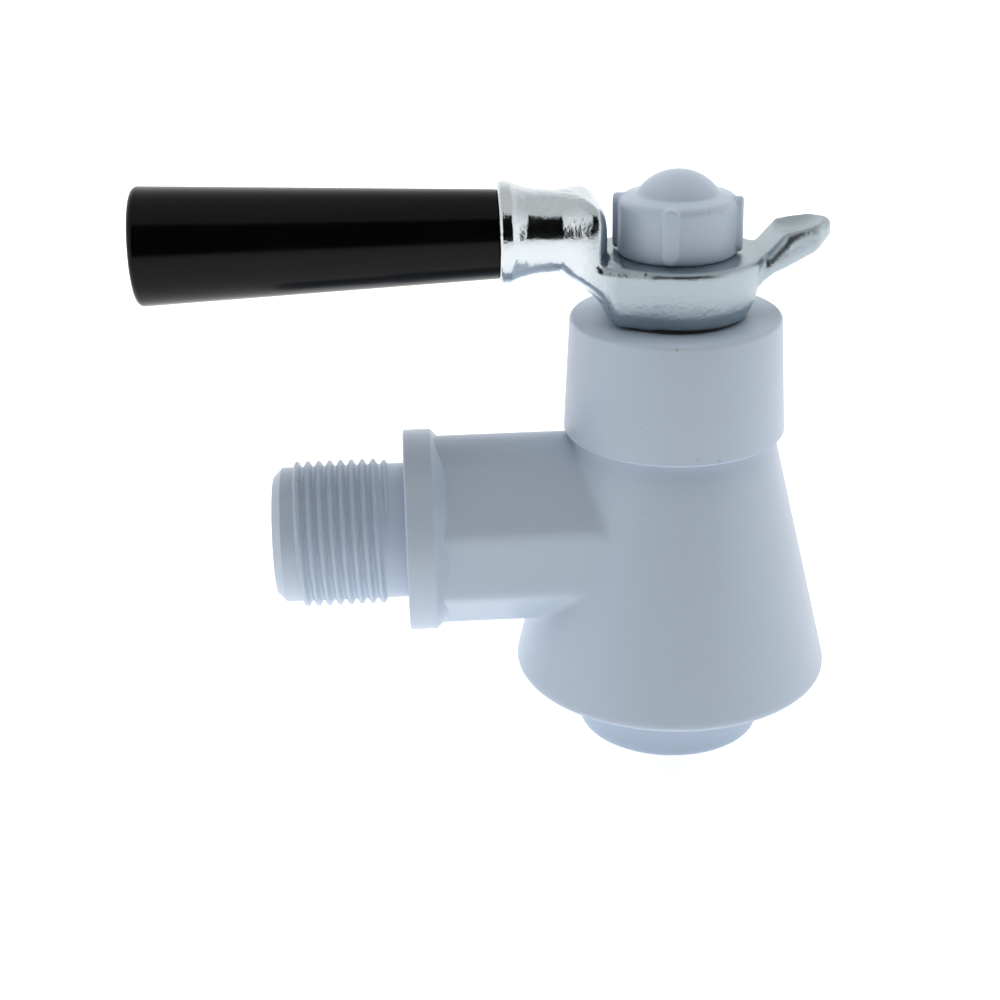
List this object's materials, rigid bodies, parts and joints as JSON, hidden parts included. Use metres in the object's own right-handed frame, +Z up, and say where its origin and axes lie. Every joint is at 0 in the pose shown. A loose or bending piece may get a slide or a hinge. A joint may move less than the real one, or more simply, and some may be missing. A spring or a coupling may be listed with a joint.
{
  "type": "soft serve dispenser faucet",
  "caption": "White plastic dispenser faucet: threaded shank, eight-sided arm, bell body with spout, and a plated rocking lever with black grip, thumb tab and ribbed cap nut.",
  "frame": {"origin": "centre of the flange's sealing face, on the axis of the shank and its inlet bore", "axes": "+X from the shank to the spout's axis, +Z up along the stem, +Y away from the picture's camera"},
  "size_m": [0.1236, 0.0588, 0.1078],
  "materials": {
    "body_plastic": "smooth moulded",
    "bonnet_plastic": "smooth moulded",
    "nut_plastic": "satin moulded",
    "black_grip": "glossy",
    "plated_zinc": "bright plating over a grained casting",
    "seal_rubber": "matte",
    "dark_washer": "matte",
    "bearing_plastic": "machined",
    "stainless_steel": "turned",
    "spring_steel": "drawn wire",
    "brass_insert": "turned"
  },
  "bodies": {
    "faucet": {"faucet_body": "body_plastic", "bonnet": "bonnet_plastic", "bonnet_o_ring": "seal_rubber", "stem_bush": "bearing_plastic", "stem_wiper_ring": "seal_rubber", "spring_washer": "stainless_steel", "return_spring": "spring_steel"},
    "swivel": {"lever_washer": "dark_washer"},
    "lever": {"lever_casting": "plated_zinc", "grip": "black_grip", "grip_stud": "stainless_steel"},
    "stem": {"stem_rod": "stainless_steel", "piston": "bearing_plastic", "piston_o_rings": "seal_rubber", "piston_circlip": "stainless_steel", "valve_washer": "seal_rubber", "washer_retainer": "stainless_steel", "retainer_screw": "stainless_steel", "cap_nut": "nut_plastic", "nut_insert": "brass_insert"}
  },
  "joints": [
    {"name": "lever_swivel", "type": "hinge", "parent": "faucet", "child": "swivel", "pos_m": [0.0497, 0, 0.0402], "axis": [0, 0, 1], "continuous": true},
    {"name": "lever_tilt", "type": "hinge", "parent": "swivel", "child": "lever", "pos_m": [0.0381, 0, 0.0407], "axis": [0, -1, 0], "range_deg": [0, 12]},
    {"name": "stem_lift", "type": "slide", "parent": "faucet", "child": "stem", "axis": [0, 0, 1], "range_m": [0, 0.00506], "stiffness_N_per_m": 1200, "springref_m": -0.008, "deforming": ["return_spring"]}
  ],
  "couplings": [
    {"joint": "lever_tilt", "follows": "stem_lift", "rad_per_m": 41.32}
  ]
}
